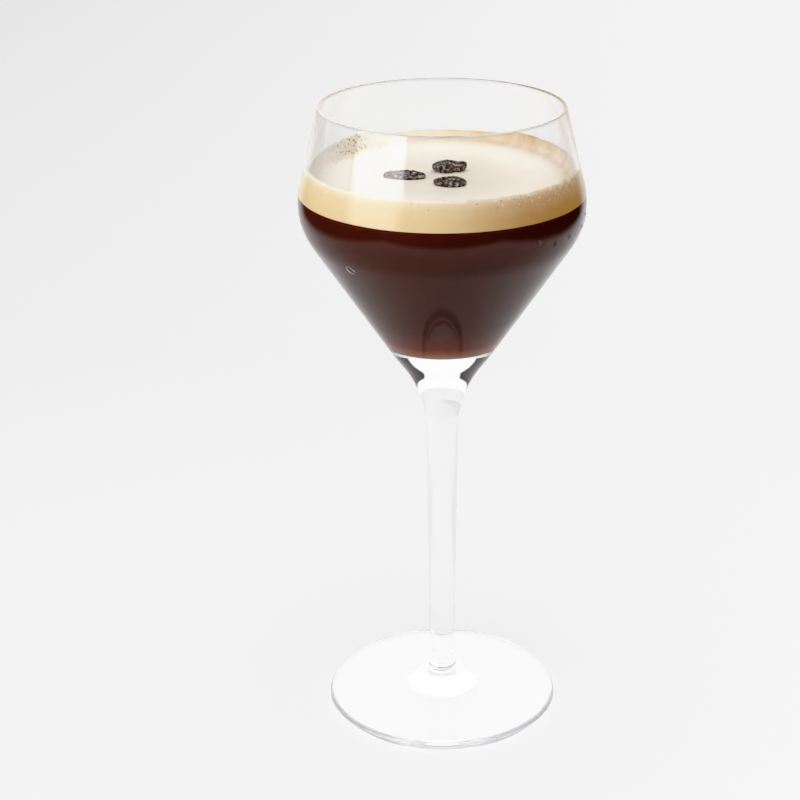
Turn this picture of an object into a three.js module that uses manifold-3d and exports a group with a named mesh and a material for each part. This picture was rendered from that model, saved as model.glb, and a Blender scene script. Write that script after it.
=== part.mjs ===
// An espresso martini served in its stemmed glass: coffee, a foam head and three roasted beans.
// Millimetres, +Z up. The origin is the centre of the foot, on the surface that the glass stands on.

import * as THREE from 'three';
import { mergeVertices } from 'three/addons/utils/BufferGeometryUtils.js';
import Module from 'manifold-3d';

const wasm = await Module();
wasm.setup();

// Driving dimensions of the glass
const totalHeight = 190;
const rimRadius = 35.1;
const lipThickness = 0.9;
const lipBlend = 0.42;
const shoulderBlend = 21;

const footRadius = 35.4;
const footEdgeThickness = 3.4;
const footCrownThickness = 4.9;
const footUnderBlend = 1.2;
const footTopBlend = 1.6;
const restRingInnerRadius = 24;
const recessRadius = 6;
const recessDepth = 0.9;

const knuckleRadius = 11.3;
const knuckleFootBlend = 0.5;
const knuckleTop = { radius: 10.6, height: 6.2, blend: 1.6 };
const neckHeight = 11.2;
const neckBlend = 10;
const throatBlend = 33;
const swellBlend = 60;

// Straight stretches of the outline: a point on each as [radius, height], and the lean from
// upright in degrees, positive where the glass widens upwards
const stemLine = { at: [3.72, 19], lean: 0.95 };
const swellLine = { at: [14.6, 116], lean: 36.9 };
const coneLine = { at: [37.87, 150.85], lean: 33.7 };
const sideLine = { at: [rimRadius, totalHeight], lean: -14 };

// The inside of the bowl, over a thick solid base
const innerSideLine = { at: [rimRadius - lipThickness, totalHeight], lean: -13.5 };
const innerConeLine = { at: [36.6, 150.85], lean: 34 };
const innerShoulderBlend = 20;
const bowlFloorHeight = 120.6;
const bowlFloorBlend = 10;

// Driving dimensions of the drink
const fitGap = 0.3;
const coffeeLevel = 165;
const foamLevel = 169.3;
const collarTop = 173.3;
const collarThickness = 0.8;
const collarFade = 1.1;
const collarSteps = [0.5, 1.1, 2, 3.4, 5.4];

// The beans lie flat side up. Offsets are from the axis, turn is in degrees seen from above, and
// rise is the height of the widest line over the foam.
const beans = {
  bean_left: {
    length: 12.2, width: 6.4, x: -10.7, y: -3.1, turn: -8,
    rise: 1, grooveSwing: 0.22, slip: 0.15,
  },
  bean_back: {
    length: 10.1, width: 7.2, x: 2.1, y: 3.5, turn: 3,
    rise: 2, grooveSwing: -0.3, slip: 0.75,
  },
  bean_front: {
    length: 9.4, width: 6.3, x: 2.2, y: -10.4, turn: -4,
    rise: 1.3, grooveSwing: 0.25, slip: -0.2,
  },
};
const beanDomeDepth = 3.1;
const beanFaceHeight = 1;
const grooveDepth = 0.9;
const grooveHalfWidth = 0.14;
const slipSoftness = 0.8;
const beanPocketGap = 0.3;

// How finely round forms are divided
const turns = 60;
const arcTolerance = 0.05;
const beanStations = 18;

const degree = Math.PI / 180;

const glassFinish = new THREE.MeshStandardMaterial({
  color: 0xf1f4f4, roughness: 0.04, metalness: 0, transparent: true, opacity: 0.35,
});
const coffeeFinish = new THREE.MeshStandardMaterial({
  color: 0x2a0d08, roughness: 0.12, metalness: 0,
});
const foamFinish = new THREE.MeshStandardMaterial({
  color: 0xe6cf9f, roughness: 0.75, metalness: 0,
});
const beanFinish = new THREE.MeshStandardMaterial({
  color: 0x3a2a26, roughness: 0.42, metalness: 0,
});

// Where two leaning lines cross
function meet(first, second) {
  const firstSlope = Math.tan(first.lean * degree);
  const secondSlope = Math.tan(second.lean * degree);
  const firstStart = first.at[0] - firstSlope * first.at[1];
  const secondStart = second.at[0] - secondSlope * second.at[1];
  const height = (secondStart - firstStart) / (firstSlope - secondSlope);
  return [firstStart + firstSlope * height, height];
}

// The radius of a leaning line at a height
function radiusOn(line, height) {
  return line.at[0] + Math.tan(line.lean * degree) * (height - line.at[1]);
}

// The same line moved towards the axis, square to itself
function inward(line, distance) {
  const radius = line.at[0] - distance / Math.cos(line.lean * degree);
  return { at: [radius, line.at[1]], lean: line.lean };
}

// An outline through corners [radius, height, blend], each rounded by an arc of its blend radius
function roundedOutline(corners) {
  const points = [];
  corners.forEach(([radius, height, blend = 0], index) => {
    const corner = new THREE.Vector2(radius, height);
    if (!blend) {
      points.push(corner);
      return;
    }
    const before = new THREE.Vector2(...corners[index - 1]).sub(corner).normalize();
    const after = new THREE.Vector2(...corners[index + 1]).sub(corner).normalize();
    const opening = Math.acos(THREE.MathUtils.clamp(before.dot(after), -1, 1));
    const turn = Math.PI - opening;
    const centreDistance = blend / Math.sin(opening / 2);
    const centre = before.clone().add(after).normalize().multiplyScalar(centreDistance).add(corner);
    const start = before.multiplyScalar(blend / Math.tan(opening / 2)).add(corner).sub(centre);
    const end = after.multiplyScalar(blend / Math.tan(opening / 2)).add(corner).sub(centre);
    const side = Math.sign(start.cross(end));
    const stepAngle = 2 * Math.acos(1 - arcTolerance / blend);
    const steps = Math.max(2, Math.ceil(turn / stepAngle));
    for (let step = 0; step <= steps; step += 1) {
      const spoke = start.clone().rotateAround(new THREE.Vector2(), (side * turn * step) / steps);
      points.push(spoke.add(centre));
    }
  });
  return points;
}

// The radius of an outline at a height, where the outline climbs steadily
function radiusAt(outline, height) {
  const above = outline.findIndex((point) => point.y >= height);
  const low = outline[above - 1];
  const high = outline[above];
  return low.x + ((high.x - low.x) * (height - low.y)) / (high.y - low.y);
}

// A closed geometry without doubled points or empty triangles
function welded(geometry) {
  geometry.deleteAttribute('normal');
  geometry.deleteAttribute('uv');
  const merged = mergeVertices(geometry, 1e-5);
  const kept = [];
  const index = merged.index.array;
  for (let start = 0; start < index.length; start += 3) {
    const [a, b, c] = index.slice(start, start + 3);
    if (a !== b && b !== c && c !== a) kept.push(a, b, c);
  }
  merged.setIndex(kept);
  return merged;
}

// A solid turned about the Z axis. The outline runs up the outside.
function turned(outline) {
  const geometry = new THREE.LatheGeometry(outline, turns);
  geometry.rotateX(Math.PI / 2);
  return welded(geometry);
}

function toSolid(geometry) {
  return new wasm.Manifold(new wasm.Mesh({
    numProp: 3,
    vertProperties: new Float32Array(geometry.attributes.position.array),
    triVerts: new Uint32Array(geometry.index.array),
  }));
}

function toGeometry(solid) {
  const mesh = solid.getMesh();
  const geometry = new THREE.BufferGeometry();
  geometry.setAttribute('position', new THREE.BufferAttribute(mesh.vertProperties, 3));
  geometry.setIndex(new THREE.BufferAttribute(mesh.triVerts, 1));
  return geometry;
}

// Foot, knuckle, stem and bowl in one piece of glass
function glassGeometry() {
  const innerFloor = radiusOn(innerConeLine, bowlFloorHeight);
  return turned(roundedOutline([
    [0, recessDepth],
    [recessRadius, recessDepth],
    [restRingInnerRadius, 0],
    [footRadius, 0, footUnderBlend],
    [footRadius, footEdgeThickness, footTopBlend],
    [knuckleRadius, footCrownThickness, knuckleFootBlend],
    [knuckleTop.radius, knuckleTop.height, knuckleTop.blend],
    [radiusOn(stemLine, neckHeight), neckHeight, neckBlend],
    [...meet(stemLine, swellLine), throatBlend],
    [...meet(swellLine, coneLine), swellBlend],
    [...meet(coneLine, sideLine), shoulderBlend],
    [rimRadius, totalHeight, lipBlend],
    [rimRadius - lipThickness, totalHeight, lipBlend],
    [...meet(innerConeLine, innerSideLine), innerShoulderBlend],
    [innerFloor, bowlFloorHeight, bowlFloorBlend],
    [0, bowlFloorHeight],
  ]));
}

// The inside of the bowl drawn in by the fit gap, from its floor up to the rim
function fillOutline() {
  const cone = inward(innerConeLine, fitGap);
  const side = inward(innerSideLine, fitGap);
  const floor = bowlFloorHeight + fitGap;
  return roundedOutline([
    [0, floor],
    [radiusOn(cone, floor), floor, bowlFloorBlend - fitGap],
    [...meet(cone, side), innerShoulderBlend - fitGap],
    [radiusOn(side, totalHeight), totalHeight],
  ]);
}

function coffeeGeometry() {
  const fill = fillOutline();
  return turned([
    ...fill.filter((point) => point.y < coffeeLevel),
    new THREE.Vector2(radiusAt(fill, coffeeLevel), coffeeLevel),
    new THREE.Vector2(0, coffeeLevel),
  ]);
}

// The foam stands level over the coffee and climbs the glass in a thin collar
function foamOutline() {
  const fill = fillOutline();
  const foamBase = coffeeLevel + fitGap;
  const collarRadius = radiusAt(fill, collarTop);
  const crest = collarRadius - collarThickness;
  const slope = collarSteps.map((distance) => new THREE.Vector2(
    crest - distance,
    foamLevel + (collarTop - foamLevel) * Math.exp(-distance / collarFade),
  ));
  return [
    new THREE.Vector2(0, foamBase),
    new THREE.Vector2(radiusAt(fill, foamBase), foamBase),
    ...fill.filter((point) => point.y > foamBase && point.y < collarTop),
    new THREE.Vector2(collarRadius, collarTop),
    new THREE.Vector2(crest, collarTop),
    ...slope,
    new THREE.Vector2(0, foamLevel),
  ];
}

// One loop of a bean's cross-section: the round back below, the grooved flat face above
function beanLoop(halfWidth, dome, face, grooveCentre, groove) {
  const loop = [];
  for (let angle = 0; angle >= -180; angle -= 22.5) {
    loop.push([halfWidth * Math.cos(angle * degree), dome * Math.sin(angle * degree)]);
  }
  const faceAt = (share) => [halfWidth * share, face * (1 - Math.abs(share) ** 3)];
  loop.push(faceAt(-0.85), faceAt(-0.55), faceAt(grooveCentre - grooveHalfWidth));
  loop.push([halfWidth * grooveCentre, face - groove]);
  loop.push(faceAt(grooveCentre + grooveHalfWidth), faceAt(0.55), faceAt(0.85));
  return loop;
}

// A bean of stations along its length. The two halves beside the groove slip past each other.
function beanGeometry(bean, margin) {
  const halfLength = bean.length / 2 + margin;
  const halfWidth = bean.width / 2 + margin;
  const groove = margin ? 0 : grooveDepth;
  const rings = [];
  for (let station = 1; station < beanStations; station += 1) {
    const along = (Math.PI * station) / beanStations;
    const fullness = Math.sin(along);
    const x = -halfLength * Math.cos(along);
    const loop = beanLoop(
      halfWidth * fullness,
      (beanDomeDepth + margin) * fullness,
      (beanFaceHeight + margin) * fullness,
      bean.grooveSwing * Math.sin((Math.PI * x) / halfLength),
      groove * fullness,
    );
    rings.push(loop.map(([y, z]) => [x + bean.slip * fullness * Math.tanh(y / slipSoftness), y, z]));
  }
  const count = rings[0].length;
  const points = [[-halfLength, 0, 0], ...rings.flat(), [halfLength, 0, 0]];
  const faces = [];
  for (let place = 0; place < count; place += 1) {
    const next = (place + 1) % count;
    faces.push(0, 1 + place, 1 + next);
    for (let ring = 0; ring < rings.length - 1; ring += 1) {
      const near = 1 + ring * count;
      const far = near + count;
      faces.push(near + place, far + place, near + next);
      faces.push(near + next, far + place, far + next);
    }
    const last = 1 + (rings.length - 1) * count;
    faces.push(points.length - 1, last + next, last + place);
  }
  const geometry = new THREE.BufferGeometry();
  geometry.setAttribute('position', new THREE.Float32BufferAttribute(points.flat(), 3));
  geometry.setIndex(faces);
  return geometry;
}

function placeBean(object, bean) {
  object.position.set(bean.x, bean.y, foamLevel + bean.rise);
  object.rotation.z = bean.turn * degree;
  return object;
}

// The foam with a pocket round each bean
function foamGeometry() {
  let solid = toSolid(turned(foamOutline()));
  for (const bean of Object.values(beans)) {
    const placed = placeBean(new THREE.Object3D(), bean);
    placed.updateMatrixWorld();
    const pocket = beanGeometry(bean, beanPocketGap).applyMatrix4(placed.matrixWorld);
    solid = solid.subtract(toSolid(pocket));
  }
  return toGeometry(solid);
}

function named(name, geometry, finish) {
  const mesh = new THREE.Mesh(geometry, finish);
  mesh.name = name;
  return mesh;
}

const drink = new THREE.Group();
drink.add(named('glass', glassGeometry(), glassFinish));
drink.add(named('coffee', coffeeGeometry(), coffeeFinish));
drink.add(named('foam', foamGeometry(), foamFinish));
for (const [name, bean] of Object.entries(beans)) {
  drink.add(placeBean(named(name, beanGeometry(bean, 0), beanFinish), bean));
}

export default drink;
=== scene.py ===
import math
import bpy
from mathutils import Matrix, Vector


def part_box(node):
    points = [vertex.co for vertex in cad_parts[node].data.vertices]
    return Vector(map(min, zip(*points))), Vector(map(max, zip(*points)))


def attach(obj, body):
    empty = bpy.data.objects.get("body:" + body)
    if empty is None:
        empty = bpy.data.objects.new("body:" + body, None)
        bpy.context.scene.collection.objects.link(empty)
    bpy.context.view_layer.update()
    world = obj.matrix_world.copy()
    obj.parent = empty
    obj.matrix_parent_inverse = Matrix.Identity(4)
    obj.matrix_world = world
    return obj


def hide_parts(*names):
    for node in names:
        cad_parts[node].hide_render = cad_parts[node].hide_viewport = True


bl_info = {
    "name": "Espresso martini in a stemmed glass",
    "version": (1, 0, 0),
    "blender": (4, 5, 0),
    "location": "View3D > Sidebar > Drink",
    "description": "Glass, coffee, foam, beans and droplets for an espresso martini, round a fixed frame",
    "category": "Add Mesh",
}

import bpy
from bpy.props import FloatProperty, FloatVectorProperty, IntProperty, PointerProperty
from mathutils import Vector, noise

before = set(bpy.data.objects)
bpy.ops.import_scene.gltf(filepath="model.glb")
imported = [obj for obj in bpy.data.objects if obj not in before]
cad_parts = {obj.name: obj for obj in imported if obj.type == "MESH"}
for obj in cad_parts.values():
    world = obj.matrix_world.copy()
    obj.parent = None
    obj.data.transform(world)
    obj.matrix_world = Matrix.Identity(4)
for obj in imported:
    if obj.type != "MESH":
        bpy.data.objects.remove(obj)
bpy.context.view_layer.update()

MM = 0.001
GLASS_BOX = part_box("glass")
COFFEE_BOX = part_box("coffee")
FOAM_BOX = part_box("foam")


def length_input(name, description, default):
    """A size in metres that a user may change."""
    return FloatProperty(name=name, description=description, default=default, unit="LENGTH", precision=5)


def colour_input(name, description, default):
    """A linear colour that a user may change."""
    return FloatVectorProperty(
        name=name, description=description, default=default, subtype="COLOR", size=3, min=0, max=1
    )


def strength_input(name, description, default):
    """A brightness that a user may change."""
    return FloatProperty(name=name, description=description, default=default, min=0)


class GlassSizes(bpy.types.PropertyGroup):
    """Sizes of the glass from foot to rim"""

    height: length_input("Height", "Height of the rim above the table", GLASS_BOX[1].z)
    rim_radius: length_input("Rim radius", "Outer radius of the rim", 35.1 * MM)
    lip_thickness: length_input("Lip thickness", "Thickness of the wall at the rim", 0.9 * MM)
    lip_blend: length_input("Lip rounding", "Radius of the fire-polished lip", 0.42 * MM)
    shoulder_blend: length_input("Shoulder rounding", "Radius of the bowl's shoulder", 21 * MM)
    inner_shoulder_blend: length_input("Inner shoulder", "Radius inside the shoulder", 20 * MM)
    floor_height: length_input("Bowl floor", "Height of the inside floor of the bowl", 120.6 * MM)
    floor_blend: length_input("Floor rounding", "Radius of the inside floor of the bowl", 10 * MM)
    throat_blend: length_input("Throat rounding", "Radius where the bowl runs into the stem", 33 * MM)
    swell_blend: length_input("Swell rounding", "Radius of the solid base under the cone", 60 * MM)
    foot_radius: length_input("Foot radius", "Outer radius of the foot", 35.4 * MM)
    foot_edge: length_input("Foot edge", "Thickness of the foot at its edge", 3.4 * MM)
    foot_crown: length_input("Foot crown", "Thickness of the foot at the knuckle", 4.9 * MM)
    knuckle_radius: length_input("Knuckle radius", "Radius of the knuckle on the foot", 11.3 * MM)
    neck_height: length_input("Neck height", "Height at which the knuckle meets the stem", 11.2 * MM)
    neck_blend: length_input("Neck rounding", "Radius of the hollow above the knuckle", 10 * MM)
    turns: IntProperty(name="Turns", description="Faces round the glass", default=192, min=24, max=512)


class DrinkSizes(bpy.types.PropertyGroup):
    """Levels and edges of the coffee and the foam"""

    wall_reach: length_input("Reach", "How far the drink reaches into the wall", 0.35 * MM)
    coffee_level: length_input("Coffee level", "Height of the coffee's surface", COFFEE_BOX[1].z)
    foam_level: length_input("Foam level", "Height of the foam's surface", 169.3 * MM)
    collar_top: length_input("Collar top", "How high the foam clings to the glass", FOAM_BOX[1].z)
    collar_thickness: length_input("Collar thickness", "Thickness of the foam on the glass", 0.8 * MM)
    collar_fade: length_input("Collar fade", "How quickly the collar drops to the foam", 1.1 * MM)
    meniscus: length_input("Meniscus", "How far the foam rises against a bean", 0.35 * MM)
    meniscus_reach: length_input("Meniscus reach", "How far from a bean the foam rises", 0.8 * MM)
    turns: IntProperty(name="Turns", description="Faces round the drink", default=288, min=24, max=512)


class BeanSizes(bpy.types.PropertyGroup):
    """Form of a roasted bean that lies flat side up"""

    dome_depth: length_input("Back depth", "Depth of the round back", 3.1 * MM)
    face_height: length_input("Face height", "Height of the flat face over the widest line", 1 * MM)
    groove_depth: length_input("Groove depth", "Depth of the groove in the face", 1.2 * MM)
    groove_width: length_input("Groove width", "Width of the groove in the face", 0.95 * MM)
    wrinkle: length_input("Wrinkles", "Height of the roasted skin's wrinkles", 0.42 * MM)


class Finishes(bpy.types.PropertyGroup):
    """Colours of the drink, in linear light"""

    cream: colour_input("Cream", "Middle of the foam's top", (0.8, 0.735, 0.65))
    # Painted light: the outer cream is paler, making up for the shade that the glass casts near the wall
    cream_edge_painted_light: colour_input("Outer cream", "Outer part of the foam's top", (0.92, 0.862, 0.785))
    crema: colour_input("Crema", "Foam against the glass", (0.78, 0.61, 0.355))
    # Painted shade: the tan against the glass turns deeper brown at the right, away from the softbox
    crema_painted_shade: colour_input("Dark crema", "Foam against the glass at the right", (0.5, 0.29, 0.1))
    coffee_deep: colour_input("Deep coffee", "Coffee under the foam", (0.08, 0.031, 0.023))
    coffee_mid: colour_input("Coffee", "Coffee in the cone", (0.062, 0.0175, 0.0075))
    # Painted light: the coffee lightens to red-brown towards the floor of the bowl, where light shines
    # through it thinly
    lower_coffee_painted_light: colour_input("Lower coffee", "Coffee over the floor of the bowl", (0.14, 0.027, 0.014))
    thin_coffee_painted_light: colour_input("Thin coffee", "Coffee at the floor of the bowl", (0.36, 0.125, 0.058))
    coffee_under: colour_input("Underside", "Coffee on the floor of the bowl", (0.046, 0.02, 0.024))
    # Painted shade inside the open bubbles of coarse froth
    pit_shade: colour_input("Open bubbles", "Shade inside an open bubble", (0.36, 0.22, 0.10))
    lip_tint: colour_input("Lip", "Tint of the glass in its lip", (0.8, 0.85, 0.92))
    # Painted shade round the upper edge of the foot, standing for the dark room that the edge shows
    foot_edge_shade: colour_input("Foot edge", "Tint of the glass round the edge of its foot", (0.5, 0.505, 0.52))
    # Painted shade: near black inside a bean's groove
    groove_shade: colour_input("Crease", "Inside of a bean's groove", (0.012, 0.007, 0.006))
    roast: colour_input("Roast", "Skin of a bean", (0.028, 0.019, 0.017))
    # Paler raised skin: partly wear, partly painted highlight
    roast_wear_and_sheen: colour_input("Worn roast", "Raised skin of a bean", (0.5, 0.40, 0.365))


class StudioSettings(bpy.types.PropertyGroup):
    """Camera and lights"""

    lens: FloatProperty(name="Lens", description="Focal length in millimetres", default=85)
    distance: length_input("Distance", "Camera's distance from the stem's axis", 0.5218)
    camera_height: length_input("Camera height", "Camera's height over the table", 0.3149)
    pitch: FloatProperty(
        name="Pitch", description="How far the camera looks down",
        default=math.radians(22.333), subtype="ANGLE",
    )
    axis_column: FloatProperty(
        name="Axis column", description="Pixel column of the stem's axis in the picture", default=442.15
    )
    front_light: strength_input("Front", "Mirrored light from the front", 0.03)
    back_light: strength_input("Back", "Light of the backdrop", 0.95)
    high_light: strength_input("High", "Light from above the backdrop", 1.4)
    overhead_light: strength_input("Overhead", "Soft light from straight above", 2.8)
    fill_light: strength_input("Fill", "Soft light from the front", 1.55)
    window_light: strength_input("Side softbox", "Brightness of the softbox at the left", 4.1)
    mirrored_window: strength_input("Mirrored softbox", "Brightness of the softbox in reflections", 3.2)
    floor_colour: colour_input("Floor", "Colour of the floor", (0.6, 0.6, 0.607))
    floor_glow: strength_input("Floor glow", "Light from under the floor", 0.385)


PICTURE_WIDTH = 800
SENSOR_WIDTH = 36
DEGREE = math.pi / 180

# Straight stretches of the glass: a point on each as (radius, height) in metres, and the lean
# from upright, positive where the glass widens upwards
STEM_LINE = ((3.72 * MM, 19 * MM), 0.95 * DEGREE)
SWELL_LINE = ((14.6 * MM, 116 * MM), 36.9 * DEGREE)
CONE_LINE = ((37.87 * MM, 150.85 * MM), 33.7 * DEGREE)
SIDE_LEAN = -14 * DEGREE
INNER_SIDE_LEAN = -13.5 * DEGREE
INNER_CONE_LINE = ((36.6 * MM, 150.85 * MM), 34 * DEGREE)
ARC_STEP = 3 * DEGREE

# Corners of the glass as (radius, height): the hollow under its foot and the top of its knuckle
FOOT_HOLLOW = ((0, 0.9 * MM), (6 * MM, 0.9 * MM), (24 * MM, 0))
KNUCKLE_TOP = (10.6 * MM, 6.2 * MM)


def smooth(low, high, value):
    """Rises from 0 at low to 1 at high with soft ends."""
    share = min(1, max(0, (value - low) / (high - low)))
    return share * share * (3 - 2 * share)


# Outlines


def meet(first, second):
    """Where two leaning lines cross, as (radius, height)."""
    (first_radius, first_height), first_lean = first
    (second_radius, second_height), second_lean = second
    first_slope, second_slope = math.tan(first_lean), math.tan(second_lean)
    first_start = first_radius - first_slope * first_height
    second_start = second_radius - second_slope * second_height
    height = (second_start - first_start) / (first_slope - second_slope)
    return first_start + first_slope * height, height


def radius_on(line, height):
    """The radius of a leaning line at a height."""
    (radius, start), lean = line
    return radius + math.tan(lean) * (height - start)


def outward(line, distance):
    """The same line moved away from the axis, square to itself."""
    (radius, height), lean = line
    return (radius + distance / math.cos(lean), height), lean


def rounded_outline(corners):
    """Points through corners (radius, height[, blend]), each rounded by an arc of its blend radius."""
    points = []
    for place, (radius, height, *rest) in enumerate(corners):
        corner = Vector((radius, height))
        if not rest:
            points.append(corner)
            continue
        blend = rest[0]
        before = (Vector(corners[place - 1][:2]) - corner).normalized()
        after = (Vector(corners[place + 1][:2]) - corner).normalized()
        opening = before.angle(after)
        turn = math.pi - opening
        centre = corner + (before + after).normalized() * (blend / math.sin(opening / 2))
        reach = blend / math.tan(opening / 2)
        start = corner + before * reach - centre
        end = corner + after * reach - centre
        side = math.copysign(1, start.x * end.y - start.y * end.x)
        steps = max(3, math.ceil(turn / ARC_STEP))
        for step in range(steps + 1):
            angle = side * turn * step / steps
            points.append(centre + Vector((
                start.x * math.cos(angle) - start.y * math.sin(angle),
                start.x * math.sin(angle) + start.y * math.cos(angle),
            )))
    return points


def radius_at(outline, height):
    """The radius of an outline at a height, where the outline climbs steadily."""
    for low, high in zip(outline, outline[1:]):
        if low.y <= height <= high.y and high.y > low.y:
            return low.x + (high.x - low.x) * (height - low.y) / (high.y - low.y)
    raise ValueError(f"the outline doesn't reach {height}")


def glass_outline(sizes):
    """Underside of the foot, up the outside to the rim, and down inside the bowl to its floor."""
    side_line = ((sizes.rim_radius, sizes.height), SIDE_LEAN)
    inner_rim = sizes.rim_radius - sizes.lip_thickness
    inner_side_line = ((inner_rim, sizes.height), INNER_SIDE_LEAN)
    return rounded_outline([
        *FOOT_HOLLOW,
        (sizes.foot_radius, 0, 1.2 * MM),
        (sizes.foot_radius, sizes.foot_edge, 1.6 * MM),
        (sizes.knuckle_radius, sizes.foot_crown, 0.5 * MM),
        (*KNUCKLE_TOP, 1.6 * MM),
        (radius_on(STEM_LINE, sizes.neck_height), sizes.neck_height, sizes.neck_blend),
        (*meet(STEM_LINE, SWELL_LINE), sizes.throat_blend),
        (*meet(SWELL_LINE, CONE_LINE), sizes.swell_blend),
        (*meet(CONE_LINE, side_line), sizes.shoulder_blend),
        (sizes.rim_radius, sizes.height, sizes.lip_blend),
        (inner_rim, sizes.height, sizes.lip_blend),
        (*meet(INNER_CONE_LINE, inner_side_line), sizes.inner_shoulder_blend),
        (radius_on(INNER_CONE_LINE, sizes.floor_height), sizes.floor_height, sizes.floor_blend),
        (0, sizes.floor_height),
    ])


def fill_outline(glass, drink):
    """The inside of the bowl from its floor to the rim, let into the wall by the reach."""
    reach = drink.wall_reach
    inner_rim = glass.rim_radius - glass.lip_thickness
    cone = outward(INNER_CONE_LINE, reach)
    side = outward(((inner_rim, glass.height), INNER_SIDE_LEAN), reach)
    floor = glass.floor_height - reach
    return rounded_outline([
        (0, floor),
        (radius_on(cone, floor), floor, glass.floor_blend + reach),
        (*meet(cone, side), glass.inner_shoulder_blend + reach),
        (radius_on(side, glass.height), glass.height),
    ])


# Meshes


def new_piece(name, vertices, faces, material):
    """A smooth mesh object with one material."""
    mesh = bpy.data.meshes.new(name)
    mesh.from_pydata(vertices, [], faces)
    mesh.validate()
    for polygon in mesh.polygons:
        polygon.use_smooth = True
    mesh.materials.append(material)
    piece = bpy.data.objects.new(name, mesh)
    bpy.context.scene.collection.objects.link(piece)
    return piece


def turned_piece(name, outline, turns, material):
    """A closed form turned about the Z axis. The outline runs up the outside, from axis to axis."""
    vertices, rings, faces = [], [], []
    for point in outline:
        on_axis = point.x < 1e-7
        angles = [0] if on_axis else [2 * math.pi * turn / turns for turn in range(turns)]
        rings.append(range(len(vertices), len(vertices) + len(angles)))
        radius = 0 if on_axis else point.x
        vertices += [(radius * math.cos(angle), radius * math.sin(angle), point.y) for angle in angles]
    for low, high in zip(rings, rings[1:]):
        for turn in range(turns):
            following = turn + 1
            loop = [
                low[turn % len(low)], low[following % len(low)],
                high[following % len(high)], high[turn % len(high)],
            ]
            faces.append(list(dict.fromkeys(loop)))
    return new_piece(name, vertices, faces, material)


def capped_faces(rings, count):
    """Faces of a closed form: its first point, rings of count points, and its last point."""
    last = 1 + (rings - 1) * count
    faces = []
    for place in range(count):
        following = (place + 1) % count
        faces.append((0, 1 + place, 1 + following))
        for near in range(1, last, count):
            far = near + count
            faces.append((near + place, far + place, far + following, near + following))
        faces.append((last + count, last + following, last + place))
    return faces


def mark_points(piece, name, values):
    """Stores a value for each point of a piece, for its material or a scatter."""
    mark = piece.data.attributes.new(name, "FLOAT", "POINT")
    mark.data.foreach_set("value", list(values))


def finish_piece(piece, slot, *nodes):
    """Gives a piece its body and hides the frame's nodes that it stands for; the slot is not used."""
    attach(piece, "root")
    if nodes:
        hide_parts(*nodes)


# Beans, placed as in the part's source


class Bean:
    """One bean's place and form, given in millimetres and in degrees seen from above."""

    def __init__(self, length, width, place, rise, turn, swing, slip, seed, waist=0):
        self.length, self.width, self.rise = length * MM, width * MM, rise * MM
        self.place = Vector((place[0] * MM, place[1] * MM))
        self.turn = turn * DEGREE
        self.swing, self.slip, self.seed, self.waist = swing, slip * MM, seed, waist

    def local(self, x, y):
        """A point over the table, seen from the bean's own axes."""
        offset = Vector((x, y)) - self.place
        return (
            offset.x * math.cos(self.turn) + offset.y * math.sin(self.turn),
            -offset.x * math.sin(self.turn) + offset.y * math.cos(self.turn),
        )


# Swing winds the groove, slip slides the two halves along each other, and a waist gives two lobes
BEANS = {
    "bean_left": Bean(
        length=12.2, width=6.4, place=(-10.7, -3.1), rise=1, turn=-8, swing=0.22, slip=0.15, seed=11
    ),
    "bean_back": Bean(
        length=10.1, width=7.2, place=(2.1, 3.5), rise=2, turn=3, swing=-0.3, slip=0.75, seed=23, waist=0.24
    ),
    "bean_front": Bean(
        length=9.4, width=6.3, place=(2.2, -10.4), rise=1.3, turn=-4, swing=0.25, slip=-0.2, seed=37
    ),
}
SLIP_SOFTNESS = 0.8 * MM
LIP_SPREAD = 0.4 * MM
WRINKLE_LENGTH = 1.15 * MM
FINE_WRINKLE_LENGTH = 0.36 * MM

# In half lengths: how far to the right of a bean's middle its waist lies, and how far it spreads
WAIST_PLACE = 0.42
WAIST_SPREAD = 0.14


def bean_face_height(sizes, fullness, share, offset):
    """Height of a bean's face over its widest line, at an offset from the middle of its groove."""
    depth = sizes.groove_depth * fullness
    groove = depth * math.exp(-((offset / (sizes.groove_width / 2)) ** 2))
    lips = 0.25 * depth * math.exp(-(((abs(offset) - sizes.groove_width) / LIP_SPREAD) ** 2))
    return sizes.face_height * fullness * (1 - abs(share) ** 3) - groove + lips


def bean_relief(point, seed):
    """Ridges along a bean with finer wrinkles on them, from 0 to 1."""
    sample = Vector((point.x * 0.5, point.y * 1.25, point.z)) / WRINKLE_LENGTH + Vector((seed, 0, 0))
    bend = noise.noise(sample * 0.45) * 1.6
    ridges = 1 - min(1, 2.6 * abs(noise.noise(sample + Vector((0, bend, 0)))))
    fine_sample = Vector((point.x * 0.7, point.y, point.z)) / FINE_WRINKLE_LENGTH
    fine = noise.noise(fine_sample + Vector((0, seed, 0)))
    return min(1, max(0, 0.75 * ridges + 0.22 + 0.6 * fine))


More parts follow.
